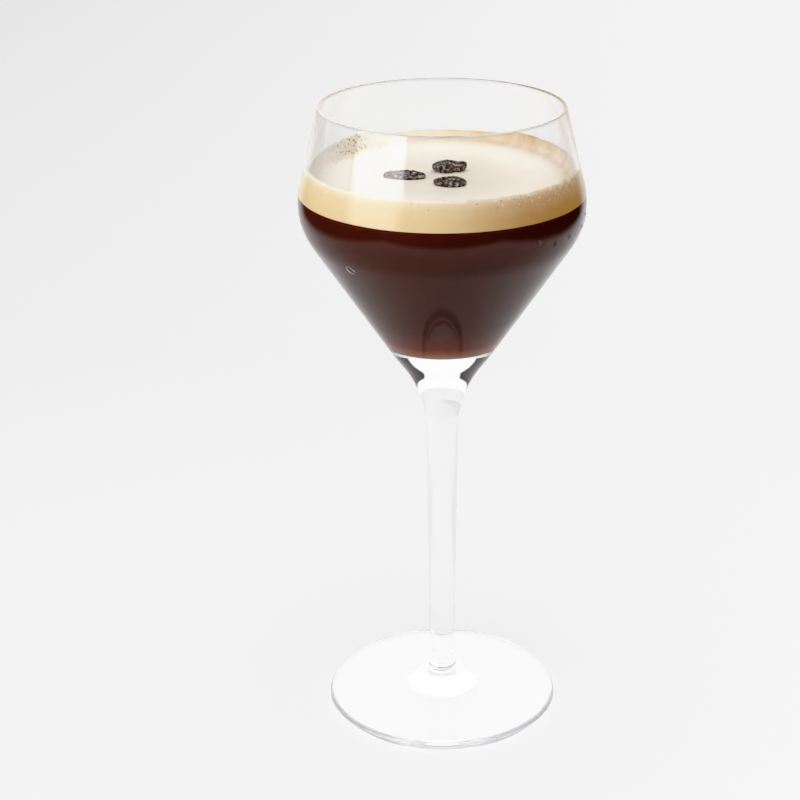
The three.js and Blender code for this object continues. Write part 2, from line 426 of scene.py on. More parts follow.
def bean_piece(name, bean, sizes, level, material):
    """A bean made of loops along its length, wrinkled along its skin."""
    stations, across_face, across_back = 130, 96, 40
    half_length = bean.length / 2
    points, wear_and_sheen, groove_shades = [], [], []

    def add(x, share, z, fullness, groove_shade):
        y = share * bean.width / 2 * fullness
        point = Vector((x + bean.slip * fullness * math.tanh(y / SLIP_SOFTNESS), y, z))
        relief = bean_relief(point, bean.seed)
        outward_way = Vector((0, share, z / (0.5 * sizes.dome_depth))).normalized()
        point -= outward_way * sizes.wrinkle * (1 - relief) * min(1, 2 * fullness)
        points.append(point)
        # Raised skin is paler, partly wear and partly painted highlight, less so in the groove
        wear_and_sheen.append(relief ** 1.5 * (1 - 0.6 * groove_shade))
        groove_shades.append(groove_shade)

    add(-half_length, 0, 1e-9, 0, 0)
    for station in range(1, stations):
        along = math.pi * station / stations
        waist = bean.waist * math.exp(-(((math.cos(along) + WAIST_PLACE) / WAIST_SPREAD) ** 2))
        fullness = math.sin(along) * (1 - waist)
        x = -half_length * math.cos(along)
        groove_middle = bean.swing * math.sin(math.pi * x / half_length)
        for step in range(across_back):
            share = math.cos(math.pi * step / across_back)
            add(x, share, -sizes.dome_depth * fullness * math.sqrt(max(0, 1 - share * share)), fullness, 0)
        for step in range(across_face):
            share = -math.cos(math.pi * step / across_face)
            offset = (share - groove_middle) * bean.width / 2 * fullness
            # How far a point lies in the painted shade of the groove
            groove_shade = math.exp(-((offset / (0.55 * sizes.groove_width)) ** 2)) * min(1, 1.5 * fullness)
            add(x, share, bean_face_height(sizes, fullness, share, offset), fullness, groove_shade)
    add(half_length, 0, 1e-9, 0, 0)
    faces = capped_faces(stations - 1, across_back + across_face)
    cosine, sine = math.cos(bean.turn), math.sin(bean.turn)
    placed = [(
        bean.place.x + point.x * cosine - point.y * sine,
        bean.place.y + point.x * sine + point.y * cosine,
        level + bean.rise + point.z,
    ) for point in points]
    piece = new_piece(name, placed, faces, material)
    mark_points(piece, "wear_and_sheen", wear_and_sheen)
    mark_points(piece, "groove_shade", groove_shades)
    return piece


# Materials


class Tree:
    """A node tree with short ways to add and join nodes."""

    def __init__(self, tree):
        self.tree = tree

    def join(self, output, target):
        self.tree.links.new(output, target)

    def feed(self, socket, source):
        """Joins a node's output to a socket, or sets the socket to a plain value or colour."""
        if isinstance(source, bpy.types.NodeSocket):
            self.join(source, socket)
        else:
            socket.default_value = (*source[:3], 1) if socket.type == "RGBA" else source

    def add(self, kind, sources=(), **settings):
        """A node with its settings, and its sockets fed in order, or by name or number."""
        node = self.tree.nodes.new(kind)
        for key, value in settings.items():
            setattr(node, key, value)
        pairs = sources.items() if isinstance(sources, dict) else enumerate(sources)
        for key, source in pairs:
            self.feed(node.inputs[key], source)
        return node

    def calculate(self, operation, *sources, clamp=False):
        return self.add("ShaderNodeMath", sources, operation=operation, use_clamp=clamp).outputs[0]

    def rise(self, source, start, end, low=0, high=1, kind="LINEAR"):
        """Goes from low to high while the source goes from start to end."""
        sources = (source, start, end, low, high)
        return self.add("ShaderNodeMapRange", sources, interpolation_type=kind).outputs[0]

    def mix(self, factor, first, second):
        return self.add("ShaderNodeMix", {0: factor, 6: first, 7: second}, data_type="RGBA").outputs[2]

    def split(self, vector):
        return self.add("ShaderNodeSeparateXYZ", [vector]).outputs

    def axis_distance(self, vector):
        """How far a place lies from the Z axis."""
        flat = self.add("ShaderNodeVectorMath", (vector, (1, 1, 0)), operation="MULTIPLY")
        return self.add("ShaderNodeVectorMath", flat.outputs[:1], operation="LENGTH").outputs["Value"]

    def cloud(self, vector, scale, detail):
        """Soft noise from 0 to 1."""
        sources = {"Vector": vector, "Scale": scale, "Detail": detail}
        return self.add("ShaderNodeTexNoise", sources).outputs["Fac"]


class Material(Tree):
    """A material with its shader and short ways to the patterns that it is made of."""

    def __init__(self, name):
        self.material = bpy.data.materials.new(name)
        self.material.use_nodes = True
        super().__init__(self.material.node_tree)
        self.shader = self.tree.nodes["Principled BSDF"]

    def set(self, **sources):
        """Feeds the shader's own sockets, named with underscores for spaces."""
        for key, source in sources.items():
            self.feed(self.shader.inputs[key.replace("_", " ")], source)

    def blend_shaders(self, factor, first, second):
        """Puts a mix of two shaders on the surface."""
        blend = self.add("ShaderNodeMixShader", (factor, first, second))
        self.join(blend.outputs[0], self.tree.nodes["Material Output"].inputs["Surface"])

    def object_coordinates(self):
        return self.add("ShaderNodeTexCoord").outputs["Object"]

    def attribute(self, name):
        """A value that is marked on the piece's points."""
        return self.add("ShaderNodeAttribute", attribute_name=name).outputs["Fac"]

    def ramp(self, source, stops):
        """A colour ramp over a value, from (place, colour) stops."""
        node = self.add("ShaderNodeValToRGB", [source])
        elements = node.color_ramp.elements
        while len(elements) < len(stops):
            elements.new(0.5)
        for element, (place, colour) in zip(elements, stops):
            element.position = place
            element.color = (*colour, 1)
        return node.outputs[0]

    def mottle(self, coordinates, scale, sharpness, ground, patches):
        """Patches of one colour on another, each a value or another node's output."""
        sources = (coordinates, scale, sharpness, ground, patches)
        return self.add("ShaderNodeGroup", sources, node_tree=mottle_effect()).outputs[0]

    def grain(self, coordinates, coarse, fine, strength, distance):
        """A bump of coarse and fine grain."""
        effect = self.add("ShaderNodeGroup", (coordinates, coarse, fine), node_tree=grain_effect())
        sources = {"Strength": strength, "Distance": distance, "Height": effect.outputs[0]}
        self.set(Normal=self.add("ShaderNodeBump", sources).outputs["Normal"])


def new_effect(name, inputs, output, kind):
    """An empty node group with named inputs and one output: its tree, its inputs and its output."""
    group = bpy.data.node_groups.new(name, "ShaderNodeTree")
    for label, socket, default in inputs:
        item = group.interface.new_socket(label, in_out="INPUT", socket_type=socket)
        if default is not None:
            item.default_value = default
    group.interface.new_socket(output, in_out="OUTPUT", socket_type=kind)
    tree = Tree(group)
    return tree, tree.add("NodeGroupInput").outputs, tree.add("NodeGroupOutput").inputs[0]


def mottle_effect():
    """Two colours in soft patches."""
    if "Mottle" in bpy.data.node_groups:
        return bpy.data.node_groups["Mottle"]
    tree, given, result = new_effect("Mottle", (
        ("Vector", "NodeSocketVector", None),
        ("Scale", "NodeSocketFloat", 500),
        ("Sharpness", "NodeSocketFloat", 4),
        ("Ground", "NodeSocketColor", (1, 1, 1, 1)),
        ("Patches", "NodeSocketColor", (0, 0, 0, 1)),
    ), "Color", "NodeSocketColor")
    spread = tree.calculate("SUBTRACT", tree.cloud(given["Vector"], given["Scale"], 4), 0.5)
    share = tree.calculate("MULTIPLY_ADD", spread, given["Sharpness"], 0.5, clamp=True)
    tree.join(tree.mix(share, given["Ground"], given["Patches"]), result)
    return tree.tree


def grain_effect():
    """A fine uneven height from coarse and fine noise."""
    if "Grain" in bpy.data.node_groups:
        return bpy.data.node_groups["Grain"]
    tree, given, result = new_effect("Grain", (
        ("Vector", "NodeSocketVector", None),
        ("Coarse", "NodeSocketFloat", 900),
        ("Fine", "NodeSocketFloat", 3000),
    ), "Height", "NodeSocketFloat")
    coarse = tree.cloud(given["Vector"], given["Coarse"], 3)
    fine = tree.cloud(given["Vector"], given["Fine"], 2)
    tree.join(tree.calculate("ADD", coarse, fine), result)
    return tree.tree


# By share of the glass's height, the share of the lamps' light that passes its wall: most at the
# foot and over the foam, least in the stem and round the coffee, and more in a band round the foam
PASSED_LIGHT = (
    (0.06, 0.82), (0.09, 0.52), (0.842, 0.52), (0.85, 0.78),
    (0.868, 0.78), (0.88, 0.52), (0.911, 0.52), (0.916, 0.93),
)


def clear_glass_material(rim_height, lip_tint, foot_edge_shade):
    """Clear glass, faintly grey in its lip, with painted shade round its foot's edge, that lets the lamps'
    light through.
    """
    nodes = Material("clear_glass")
    coordinates = nodes.object_coordinates()
    height = nodes.split(coordinates)["Z"]
    lip = nodes.rise(height, rim_height - 0.9 * MM, rim_height - 0.5 * MM)
    tint = nodes.mix(lip, (1, 1, 1), lip_tint)
    # Painted shade round the upper edge of the foot
    edge = nodes.rise(nodes.axis_distance(coordinates), 34.0 * MM, 34.8 * MM)
    for start, end in ((5 * MM, 4 * MM), (1.1 * MM, 2 * MM)):
        edge = nodes.calculate("MULTIPLY", edge, nodes.rise(height, start, end))
    nodes.set(Base_Color=nodes.mix(edge, tint, foot_edge_shade), Roughness=0, IOR=1.5, Transmission_Weight=1)
    stops = [(place, (light, light, light)) for place, light in PASSED_LIGHT]
    passed = nodes.ramp(nodes.calculate("DIVIDE", height, rim_height), stops)
    passing = nodes.add("ShaderNodeBsdfTransparent", [passed]).outputs[0]
    lamp_ray = nodes.add("ShaderNodeLightPath").outputs["Is Shadow Ray"]
    nodes.blend_shaders(lamp_ray, nodes.shader.outputs[0], passing)
    return nodes.material


def water_material():
    """Clear water."""
    nodes = Material("water_droplets")
    nodes.set(Base_Color=(1, 1, 1), Roughness=0, IOR=1.33, Transmission_Weight=1)
    return nodes.material


def coffee_material(finishes, floor, level):
    """Coffee with painted light shining red-brown through the lower edge of its side, with a dark
    underside.
    """
    nodes = Material("coffee_drink")
    height = nodes.split(nodes.object_coordinates())["Z"]
    # Painted light shining through the thin coffee at the bottom of the ramp
    colour = nodes.ramp(nodes.rise(height, floor, level), [
        (0.0, finishes.thin_coffee_painted_light),
        (0.07, finishes.lower_coffee_painted_light),
        (0.22, finishes.coffee_mid),
        (0.75, finishes.coffee_mid),
        (0.93, finishes.coffee_deep),
    ])
    colour = nodes.mix(nodes.attribute("side"), finishes.coffee_under, colour)
    nodes.set(Base_Color=colour, Roughness=0.12, Specular_IOR_Level=0.03)
    return nodes.material


def foam_material(finishes):
    """Cream on top, paler towards the glass as painted light, and tan against the glass, deeper at the
    right as painted shade, with painted shade in open bubbles where the froth is coarse.
    """
    nodes = Material("coffee_foam")
    coordinates = nodes.object_coordinates()
    froth = nodes.attribute("froth")
    clouds = nodes.mottle(coordinates, 160, 1.2, (0, 0, 0), (1, 1, 1))
    paler = nodes.calculate("SUBTRACT", nodes.attribute("crema"), 0.08)
    tan_share = nodes.calculate("MULTIPLY_ADD", clouds, 0.16, paler, clamp=True)
    # Painted shade: the tan deepens towards the right by the marked share
    tan = nodes.mix(nodes.attribute("shaded"), finishes.crema, finishes.crema_painted_shade)
    # Painted light: the cream turns paler towards the glass
    outer = nodes.rise(nodes.axis_distance(coordinates), 18 * MM, 31 * MM)
    cream = nodes.mix(outer, finishes.cream, finishes.cream_edge_painted_light)
    colour = nodes.mix(tan_share, cream, tan)

    # Painted shade inside open bubbles: dark cells where the froth is coarse
    cells = nodes.add("ShaderNodeTexVoronoi", {"Vector": coordinates, "Scale": 1100}).outputs
    width = nodes.calculate("MULTIPLY_ADD", froth, 0.12, 0.18)
    near = nodes.calculate("LESS_THAN", cells["Distance"], width)
    draw = nodes.add("ShaderNodeSeparateColor", [cells["Color"]]).outputs[0]
    odds = nodes.calculate("MULTIPLY_ADD", froth, 0.42, 0.02)
    pit = nodes.calculate("MULTIPLY", near, nodes.calculate("LESS_THAN", draw, odds))
    depth = nodes.calculate("MULTIPLY_ADD", froth, 0.5, tan_share, clamp=True)
    colour = nodes.mix(nodes.calculate("MULTIPLY", pit, depth), colour, finishes.pit_shade)
    nodes.grain(coordinates, coarse=1100, fine=3600, strength=0.3, distance=0.2 * MM)
    nodes.set(Base_Color=colour, Roughness=0.5, Specular_IOR_Level=0.3)
    return nodes.material


def bubble_material(finishes):
    """Wet skins of the larger bubbles."""
    nodes = Material("foam_bubbles")
    colour = nodes.mottle(nodes.object_coordinates(), 700, 2, finishes.crema, finishes.cream)
    nodes.set(Base_Color=colour, Roughness=0.45, Specular_IOR_Level=0.2)
    return nodes.material


def bean_material(finishes):
    """Dark roasted skin, paler where it is raised, partly worn and partly as painted highlight, and near
    black in the groove as painted shade.
    """
    nodes = Material("roasted_bean")
    coordinates = nodes.object_coordinates()
    pale = nodes.mottle(coordinates, 1400, 5, finishes.roast, finishes.roast_wear_and_sheen)
    colour = nodes.mix(nodes.attribute("wear_and_sheen"), finishes.roast, pale)
    colour = nodes.mix(nodes.attribute("groove_shade"), colour, finishes.groove_shade)
    nodes.grain(coordinates, coarse=1500, fine=4200, strength=0.5, distance=0.15 * MM)
    nodes.set(Base_Color=colour, Roughness=0.3, Specular_IOR_Level=0.35)
    return nodes.material


# Operators


class DRINK_OT_glass(bpy.types.Operator):
    """Turn the glass from its outline and put it in place of the frame's faceted one"""

    bl_idname = "drink.glass"
    bl_label = "Glass"

    def execute(self, context):
        sizes = context.scene.glass_sizes
        outline = glass_outline(sizes)
        widest = max(point.x for point in outline)
        fit = GLASS_BOX[1].x / widest
        outline = [Vector((point.x * fit, point.y)) for point in outline]
        finishes = context.scene.finishes
        material = clear_glass_material(sizes.height, finishes.lip_tint, finishes.foot_edge_shade)
        piece = turned_piece("glass_body", outline, sizes.turns, material)
        finish_piece(piece, "clear_glass", "glass")
        return {"FINISHED"}


class DRINK_OT_coffee(bpy.types.Operator):
    """Fill the bowl with coffee that reaches just into the wall"""

    bl_idname = "drink.coffee"
    bl_label = "Coffee"

    def execute(self, context):
        glass, drink = context.scene.glass_sizes, context.scene.drink_sizes
        fill = fill_outline(glass, drink)
        level = drink.coffee_level
        outline = [point for point in fill if point.y < level]
        outline += [Vector((radius_at(fill, level), level)), Vector((0, level))]
        material = coffee_material(context.scene.finishes, glass.floor_height, level)
        piece = turned_piece("coffee_fill", outline, drink.turns, material)
        corner = radius_on(INNER_CONE_LINE, glass.floor_height)

        def side(x, y, z):
            behind = smooth(-9 * MM, -3 * MM, y) * (1 - smooth(2 * MM, 7 * MM, z - glass.floor_height))
            return smooth(corner - 4.2 * MM, corner - 1.8 * MM, math.hypot(x, y)) * (1 - behind)

        mark_points(piece, "side", (side(*vertex.co) for vertex in piece.data.vertices))
        finish_piece(piece, "coffee_drink", "coffee")
        return {"FINISHED"}


# How far the foam's base reaches into the coffee, how much the collar's crest is rounded at its
# sides, the radius inside which the foam is made of even rings, and how near the glass foam counts
# as its side
FOAM_OVERLAP = 0.05 * MM
CREST_DROP = 0.15 * MM
EVEN_RADIUS = 16 * MM
SIDE_DEPTH = 0.45 * MM


def foam_outline(glass, drink):
    """The foam from its base up the wall, over the collar and in to the middle."""
    fill = fill_outline(glass, drink)
    base = drink.coffee_level - FOAM_OVERLAP
    outline = [Vector((0, base)), Vector((radius_at(fill, base), base))]
    steps = 24
    for step in range(1, steps):
        height = base + (drink.collar_top - CREST_DROP - base) * step / steps
        outline.append(Vector((radius_at(fill, height), height)))
    wall = radius_at(fill, drink.collar_top)
    crest = wall - drink.wall_reach - drink.collar_thickness
    for share in (0, 0.12, 0.3, 0.5, 0.7, 0.88, 1):
        drop = CREST_DROP * (abs(2 * share - 1) ** 3)
        outline.append(Vector((wall + (crest - wall) * share, drink.collar_top - drop)))
    rise = drink.collar_top - CREST_DROP - drink.foam_level
    step, distance = 0.12 * MM, 0.1 * MM
    while crest - distance > EVEN_RADIUS:
        drop = math.exp(-distance / drink.collar_fade)
        outline.append(Vector((crest - distance, drink.foam_level + rise * drop)))
        distance += step
        step = min(step * 1.08, 0.6 * MM)
    inner = crest - distance
    rings = 60
    outline += [Vector((inner * (rings - ring) / rings, drink.foam_level)) for ring in range(rings + 1)]
    return outline


def bean_edge_distance(bean, x, y):
    """About how far a point lies outside a bean's outline, in metres."""
    along, across = bean.local(x, y)
    reach = math.hypot(along / (bean.length / 2), across / (bean.width / 2))
    return (reach - 1) * bean.width / 2


def froth_at(x, y):
    """How coarse the froth along the collar is: coarsest at the back left, less at the right."""
    bearing = math.degrees(math.atan2(y, x))
    patch = 1.25 * math.exp(-(((bearing - 138) / 16) ** 2))
    right = 0.8 * math.exp(-(((bearing + 25) / 42) ** 2))
    return 0.2 + max(patch, right)


def surface_ripple(drink, x, y, climb):
    """How far the foam's top rises or dips at a place: long waves, and a rise at each bean."""
    flat = Vector((x, y, 0))
    ripple = 0.1 * MM * noise.noise(flat / (7 * MM))
    ripple += 0.035 * MM * noise.noise(flat / (1.6 * MM) + Vector((0, 0, 5)))
    for bean in BEANS.values():
        gap = max(0, bean_edge_distance(bean, x, y))
        ripple += drink.meniscus * math.exp(-gap / drink.meniscus_reach)
    return ripple * (1 - min(1, climb * 2))


def top_tan(x, y, climb, from_wall, right, froth, uneven):
    """How tan the foam's top is: most along the glass, at the foot of the collar and at the back."""
    fade = math.exp(-max(0, from_wall - (0.5 + 0.3 * right) * MM) / ((0.5 + 1.9 * right) * MM))
    foot = math.exp(-(((climb - 0.16) / 0.16) ** 2))
    back = smooth(0, 25 * MM, y)
    tan = (0.3 + 0.34 * right + 0.3 * back * smooth(0.1, 0.5, climb)) * fade * (1 + 0.5 * uneven)
    band = back * math.exp(-(((x - 5 * MM) / (19 * MM)) ** 2) - max(0, from_wall - 4 * MM) / (1.4 * MM))
    tan += 0.3 * foot * (0.4 + froth) + 0.42 * band * (1 + 0.3 * uneven)
    rough = max(0, froth - 1) * smooth(0.05, 0.3, climb) * (0.5 + 0.5 * uneven)
    return min(1, 0.03 + max(0, tan + 0.8 * rough))


def shape_foam(piece, drink, wall):
    """Gives the foam its unevenness, and marks how tan and how coarse each place is, and how deep in the
    painted shade at the right.
    """
    crema, shaded, coarse = [], [], []
    top_span = drink.collar_top - drink.foam_level
    glass_side = wall - drink.wall_reach
    for vertex in piece.data.vertices:
        x, y, z = vertex.co
        radius = math.hypot(x, y)
        froth = froth_at(x, y)
        flat = Vector((x, y, 0))
        uneven = noise.noise(flat / (3.2 * MM)) + 0.6 * noise.noise(flat / (0.9 * MM))
        climb = (z - drink.foam_level) / top_span
        right = smooth(-8 * MM, 30 * MM, x)
        # The share of painted shade, growing towards the right
        shaded.append(right)
        ruffle = 0.5 * MM * froth * uneven * smooth(0.1, 1, climb)
        if z < drink.coffee_level or radius > glass_side - SIDE_DEPTH:
            top = smooth(0.25, 1.05, climb + 0.14 * uneven)
            deep = smooth(drink.foam_level - 2.4 * MM, drink.foam_level + 0.5 * MM, z)
            crema.append(1 - 0.1 * deep - 0.4 * top * (1 - 0.5 * right))
            coarse.append(froth * smooth(-0.1, 0.7, climb))
            vertex.co.z += ruffle
            continue
        crema.append(top_tan(x, y, climb, glass_side - radius, right, froth, uneven))
        coarse.append(froth * smooth(0.004, 0.05, climb))
        grains = noise.noise(Vector((x, y, z)) / (0.7 * MM))
        grainy = 0.4 * MM * froth * grains * smooth(0.004, 0.08, climb)
        vertex.co.z += surface_ripple(drink, x, y, climb) + ruffle + grainy
    mark_points(piece, "crema", crema)
    mark_points(piece, "shaded", shaded)
    mark_points(piece, "froth", coarse)


class DRINK_OT_foam(bpy.types.Operator):
    """Lay the foam on the coffee, with its collar on the glass and a rise at each bean"""

    bl_idname = "drink.foam"
    bl_label = "Foam"

    def execute(self, context):
        glass, drink = context.scene.glass_sizes, context.scene.drink_sizes
        outline = foam_outline(glass, drink)
        piece = turned_piece("foam_head", outline, drink.turns, foam_material(context.scene.finishes))
        shape_foam(piece, drink, radius_at(fill_outline(glass, drink), drink.foam_level))
        finish_piece(piece, "coffee_foam", "foam")
        return {"FINISHED"}


def new_scatter(name, segments, rings, stretch):
    """A node tree that strews small round things over a mesh, denser where its weight is higher."""
    group = bpy.data.node_groups.new(name, "GeometryNodeTree")
    for label, kind in (
        ("Geometry", "Geometry"), ("Density", "Float"), ("Smallest", "Float"),
        ("Largest", "Float"), ("Seed", "Int"), ("Material", "Material"),
    ):
        group.interface.new_socket(label, in_out="INPUT", socket_type="NodeSocket" + kind)
    group.interface.new_socket("Geometry", in_out="OUTPUT", socket_type="NodeSocketGeometry")
    tree = Tree(group)
    given = tree.add("NodeGroupInput").outputs
    weight = tree.add("GeometryNodeInputNamedAttribute", {"Name": "weight"}, data_type="FLOAT")
    density = tree.calculate("MULTIPLY", weight.outputs["Attribute"], given["Density"])
    sources = {"Mesh": given["Geometry"], "Density": density, "Seed": given["Seed"]}
    points = tree.add("GeometryNodeDistributePointsOnFaces", sources).outputs
    draw = tree.add("FunctionNodeRandomValue", {"Seed": given["Seed"]}).outputs["Value"]
    mostly_small = tree.calculate("POWER", draw, 3)
    size = tree.rise(mostly_small, 0, 1, given["Smallest"], given["Largest"])
    scale = tree.add("ShaderNodeVectorMath", {0: (1, 1, stretch), "Scale": size}, operation="SCALE")
    ball = tree.add("GeometryNodeMeshUVSphere", {"Segments": segments, "Rings": rings, "Radius": 1})
    made = tree.add("GeometryNodeInstanceOnPoints", {
        "Points": points["Points"], "Rotation": points["Rotation"],
        "Instance": ball.outputs["Mesh"], "Scale": scale.outputs[0],
    })
    for kind in ("GeometryNodeRealizeInstances", "GeometryNodeSetShadeSmooth", "GeometryNodeSetMaterial"):
        made = tree.add(kind, {"Geometry": made.outputs[0]})
    tree.join(given["Material"], made.inputs["Material"])
    tree.add("NodeGroupOutput", [made.outputs[0]])
    return group


def strewn_piece(name, ground_name, rule, form, material, **inputs):
    """Strews a form over a copy of a piece, as densely as a rule says, and keeps it as a plain mesh."""
    ground = bpy.data.objects.new(name + "_ground", bpy.data.objects[ground_name].data.copy())
    bpy.context.scene.collection.objects.link(ground)
    mark_points(ground, "weight", (rule(*vertex.co) for vertex in ground.data.vertices))
    modifier = ground.modifiers.new("Scatter", "NODES")
    modifier.node_group = new_scatter(name + "_scatter", *form)
    inputs["Material"] = material
    for item in modifier.node_group.interface.items_tree:
        if item.in_out == "INPUT" and item.name in inputs:
            modifier[item.identifier] = inputs[item.name]
    ready = ground.evaluated_get(bpy.context.evaluated_depsgraph_get())
    mesh = bpy.data.meshes.new_from_object(ready)
    mesh.name = name
    if not mesh.polygons:
        raise RuntimeError(f"{name} came out empty")
    piece = bpy.data.objects.new(name, mesh)
    bpy.context.scene.collection.objects.link(piece)
    ground.modifiers.remove(modifier)
    bpy.data.objects.remove(ground)
    return piece


class DRINK_OT_bubbles(bpy.types.Operator):
    """Strew small open and closed bubbles along the foam's collar and sparsely over the cream"""

    bl_idname = "drink.bubbles"
    bl_label = "Bubbles"

    def execute(self, context):
        drink = context.scene.drink_sizes
        top_span = drink.collar_top - drink.foam_level

        def rule(x, y, z):
            climb = (z - drink.foam_level) / top_span
            if climb < -0.1:
                return 0
            near_wall = smooth(24 * MM, 30 * MM, math.hypot(x, y))
            near_collar = near_wall * smooth(0.003, 0.06, climb) * (1 - 0.5 * smooth(0.7, 1, climb))
            return 0.002 + near_collar * froth_at(x, y)

        piece = strewn_piece(
            "bubbles", "foam_head", rule, (8, 5, 0.8), bubble_material(context.scene.finishes),
            Density=1e6, Smallest=0.08 * MM, Largest=0.28 * MM, Seed=4,
        )
        finish_piece(piece, "coffee_foam")
        return {"FINISHED"}


class DRINK_OT_droplets(bpy.types.Operator):
    """Strew fine drops of condensed water over the outside of the bowl"""

    bl_idname = "drink.droplets"
    bl_label = "Droplets"

    def execute(self, context):
        widest = 150 * MM
        outer_wall = GLASS_BOX[1].x - 0.6 * MM

        def rule(x, y, z):
            reach = math.hypot(x, y)
            in_bowl = z < widest and reach < radius_on(outward(INNER_CONE_LINE, 1 * MM), z)
            if in_bowl or not 122 * MM < z < 160 * MM or (z > widest and reach < outer_wall):
                return 0
            right = smooth(20 * MM, 38 * MM, x)
            return 0.3 + 2.4 * right * smooth(135 * MM, 155 * MM, z)

        water = water_material()
        piece = strewn_piece(
            "droplets", "glass_body", rule, (16, 8, 0.5), water,
            Density=8e4, Smallest=0.15 * MM, Largest=0.6 * MM, Seed=12,
        )
        finish_piece(piece, "clear_glass")
        finish_piece(large_drop(water), "clear_glass")
        return {"FINISHED"}


def large_drop(material):
    """The one large drop, long and flat, that hangs on the cone at the front left."""
    centre = Vector((-25.1, -28.4, 150.85)) * MM
    outward_way = Vector((-0.55, -0.62, -0.55)).normalized()
    along = Vector((0.62, -0.2, -0.55))
    along = (along - outward_way * along.dot(outward_way)).normalized()
    across = along.cross(outward_way)
    half_length, half_width, half_depth = 1.5 * MM, 0.75 * MM, 0.7 * MM
    rings, turns = 15, 32
    vertices = [tuple(centre - outward_way * half_depth)]
    for ring in range(1, rings + 1):
        slope = math.pi * ring / (rings + 1)
        middle = centre - outward_way * half_depth * math.cos(slope)
        for turn in range(turns):
            angle = 2 * math.pi * turn / turns
            offset = along * half_length * math.cos(angle) + across * half_width * math.sin(angle)
            vertices.append(tuple(middle + offset * math.sin(slope)))
    vertices.append(tuple(centre + outward_way * half_depth))
    return new_piece("large_drop", vertices, capped_faces(rings, turns), material)


class DRINK_OT_beans(bpy.types.Operator):
    """Lay the three roasted beans in the foam"""

    bl_idname = "drink.beans"
    bl_label = "Beans"

    def execute(self, context):
        sizes = context.scene.bean_sizes
        level = context.scene.drink_sizes.foam_level
        material = bean_material(context.scene.finishes)
        for node, bean in BEANS.items():
            piece = bean_piece("roasted_" + node, bean, sizes, level, material)
            finish_piece(piece, "roasted_bean", node)
        return {"FINISHED"}


def floor_material(studio):
    """A pale light table, a little brighter to the right and in front, so that shadows stay faint."""
    nodes = Material("floor_white")
    place = nodes.split(nodes.object_coordinates())
    sideways = nodes.rise(place["X"], -0.4, 0.4, -0.09, 0.09)
    away = nodes.rise(place["Y"], -0.1, 0.3, studio.floor_glow + 0.07, studio.floor_glow)
    nodes.set(Base_Color=studio.floor_colour, Roughness=0.8, Specular_IOR_Level=0.2)
    nodes.set(Emission_Color=(1, 1, 1), Emission_Strength=nodes.calculate("ADD", sideways, away))
    return nodes.material


def mirrored_cover(x, y):
    """How dark the glass mirrors the floor: a little near the glass, fully further off, open behind."""
    reach = math.hypot(x, y)
    sideways = smooth(0.5, 0.75, abs(x) / reach) if y > 0 else 1
    away = smooth(0.26, 0.47, max(abs(x), -y)) * sideways
    near = 0.16 * (1 - smooth(0.08, 0.2, y))
    return max(away, near)


def passed_cover(x, y):
    """How dark the floor shows through the edges of the stem and foot: in a patch at either side."""
    return 0.14 * smooth(0.045, 0.09, abs(x)) * (1 - smooth(0.1, 0.18, abs(y)))


def foot_cover(x, y):
    """How dark the lower cone mirrors the foot under it: most at the edge of the foot."""
    reach = math.hypot(x, y)
    return (0.22 + 0.12 * smooth(0.033, 0.036, reach)) * (1 - smooth(0.038, 0.0405, reach))


def dark_flag(name, cover, nearest, farthest, height):
    """A level dark card, in rings round the glass, as dense as its cover says."""
    nodes = Material("flag_black")
    nodes.set(Base_Color=(0.02, 0.02, 0.02), Roughness=0.9, Specular_IOR_Level=0)
    clear = nodes.add("ShaderNodeBsdfTransparent").outputs[0]
    nodes.blend_shaders(nodes.attribute("cover"), clear, nodes.shader.outputs[0])
    corners, faces, turns, growth, reach = [], [], 64, 1.08, nearest
    while reach < farthest:
        angles = [2 * math.pi * turn / turns for turn in range(turns)]
        corners += [(reach * math.cos(angle), reach * math.sin(angle), height) for angle in angles]
        reach *= growth
    for low in range(0, len(corners) - turns, turns):
        for turn in range(turns):
            following = (turn + 1) % turns
            faces.append((low + turn, low + turns + turn, low + turns + following, low + following))
    flag = new_piece(name, corners, faces, nodes.material)
    mark_points(flag, "cover", (cover(x, y) for x, y, z in corners))
    only_mirrored(flag)
    return flag


def only_mirrored(piece):
    """A card that shows only in reflections."""
    piece.visible_camera = False
    piece.visible_diffuse = False
    piece.visible_transmission = False
    piece.visible_shadow = False


def room_world(studio):
    """A room for a pale set: soft light from overhead, white through glass, its front dim in mirrors."""
    world = bpy.data.worlds.new("room")
    world.use_nodes = True
    tree = Tree(world.node_tree)
    way = tree.split(tree.add("ShaderNodeTexCoord").outputs["Generated"])
    rays = tree.add("ShaderNodeLightPath").outputs

    def step(axis, *range_and_values):
        return tree.rise(way[axis], *range_and_values, kind="SMOOTHSTEP")

    def narrowed(amount, power, brightness):
        amount = tree.calculate("POWER", tree.calculate("MAXIMUM", amount, 0), power)
        return tree.calculate("MULTIPLY", amount, brightness)

    overhead = narrowed(way["Z"], 6, studio.overhead_light)
    fill = narrowed(tree.calculate("MULTIPLY", way["Y"], -1), 4, studio.fill_light)
    light = tree.calculate("ADD", overhead, fill)
    mirrored = step("Y", 0.25, 0.9, studio.front_light, studio.high_light)
    backdrop = step("Z", 0.2, 0.27, studio.back_light, 1.35 * studio.high_light)
    through = tree.calculate("MULTIPLY", backdrop, step("Y", -0.9, -0.5, 0.15, 1))
    backdrop_seen = 0.92
    for kind, seen in (("Glossy", mirrored), ("Transmission", through), ("Camera", backdrop_seen)):
        sources = {0: rays[f"Is {kind} Ray"], 2: light, 3: seen}
        light = tree.add("ShaderNodeMix", sources).outputs[0]
    background = tree.tree.nodes["Background"]
    tree.feed(background.inputs["Strength"], light)
    tree.feed(background.inputs["Color"], (1, 1, 1))
    return world


